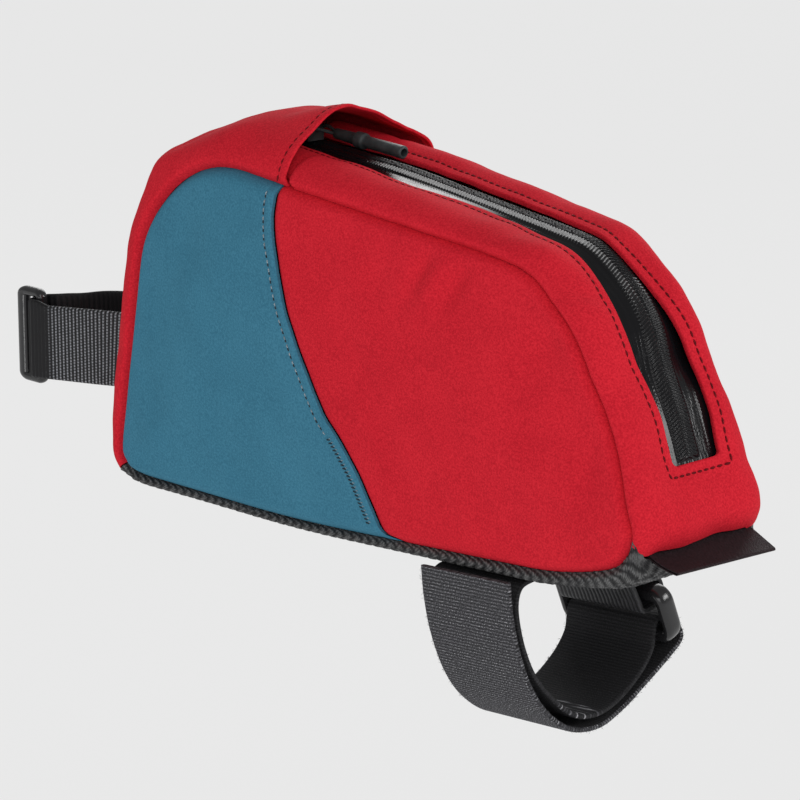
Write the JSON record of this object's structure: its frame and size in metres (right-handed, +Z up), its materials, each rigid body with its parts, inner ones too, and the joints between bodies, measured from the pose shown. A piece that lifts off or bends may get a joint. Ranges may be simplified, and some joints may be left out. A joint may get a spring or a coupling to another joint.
{
  "type": "bicycle top tube bag",
  "caption": "Soft bag that sits on a bicycle's top tube behind the stem, with a hooded lengthwise zip, a looped stem strap and a hook-and-loop tube strap.",
  "frame": {"origin": "middle of the bag's length, on the plane of the flat underside that sits on the top tube", "axes": "+X along the top tube from the stem end to the saddle end, +Y to the ring side of the tube strap, +Z up"},
  "size_m": [0.3093, 0.0774, 0.1774],
  "materials": {
    "red_cloth": "fine plain-woven coated nylon, matt",
    "blue_cloth": "fine plain-woven coated nylon, matt",
    "base_cloth": "embossed woven grip cloth, dull",
    "coated_tape": "glossy coated zip tape",
    "webbing": "ribbed woven webbing",
    "hook_and_loop": "napped hook-and-loop strap",
    "black_plastic": "moulded satin plastic",
    "grey_rubber": "moulded matt rubber",
    "label_cloth": "folded woven label, plain"
  },
  "bodies": {
    "root": {"left_side_panel": "red_cloth", "right_side_panel": "red_cloth", "left_cover_panel": "blue_cloth", "right_cover_panel": "blue_cloth", "hood_band": "red_cloth", "zip_band": "red_cloth", "base_panel": "base_cloth", "zip_tape": "coated_tape", "zip_slider": "black_plastic", "pull_cord": "webbing", "pull_tube": "grey_rubber", "end_label": "label_cloth", "stem_strap": "webbing", "strap_buckle": "black_plastic", "tube_strap": "hook_and_loop", "ring_tab": "webbing", "strap_ring": "black_plastic"}
  },
  "joints": []
}
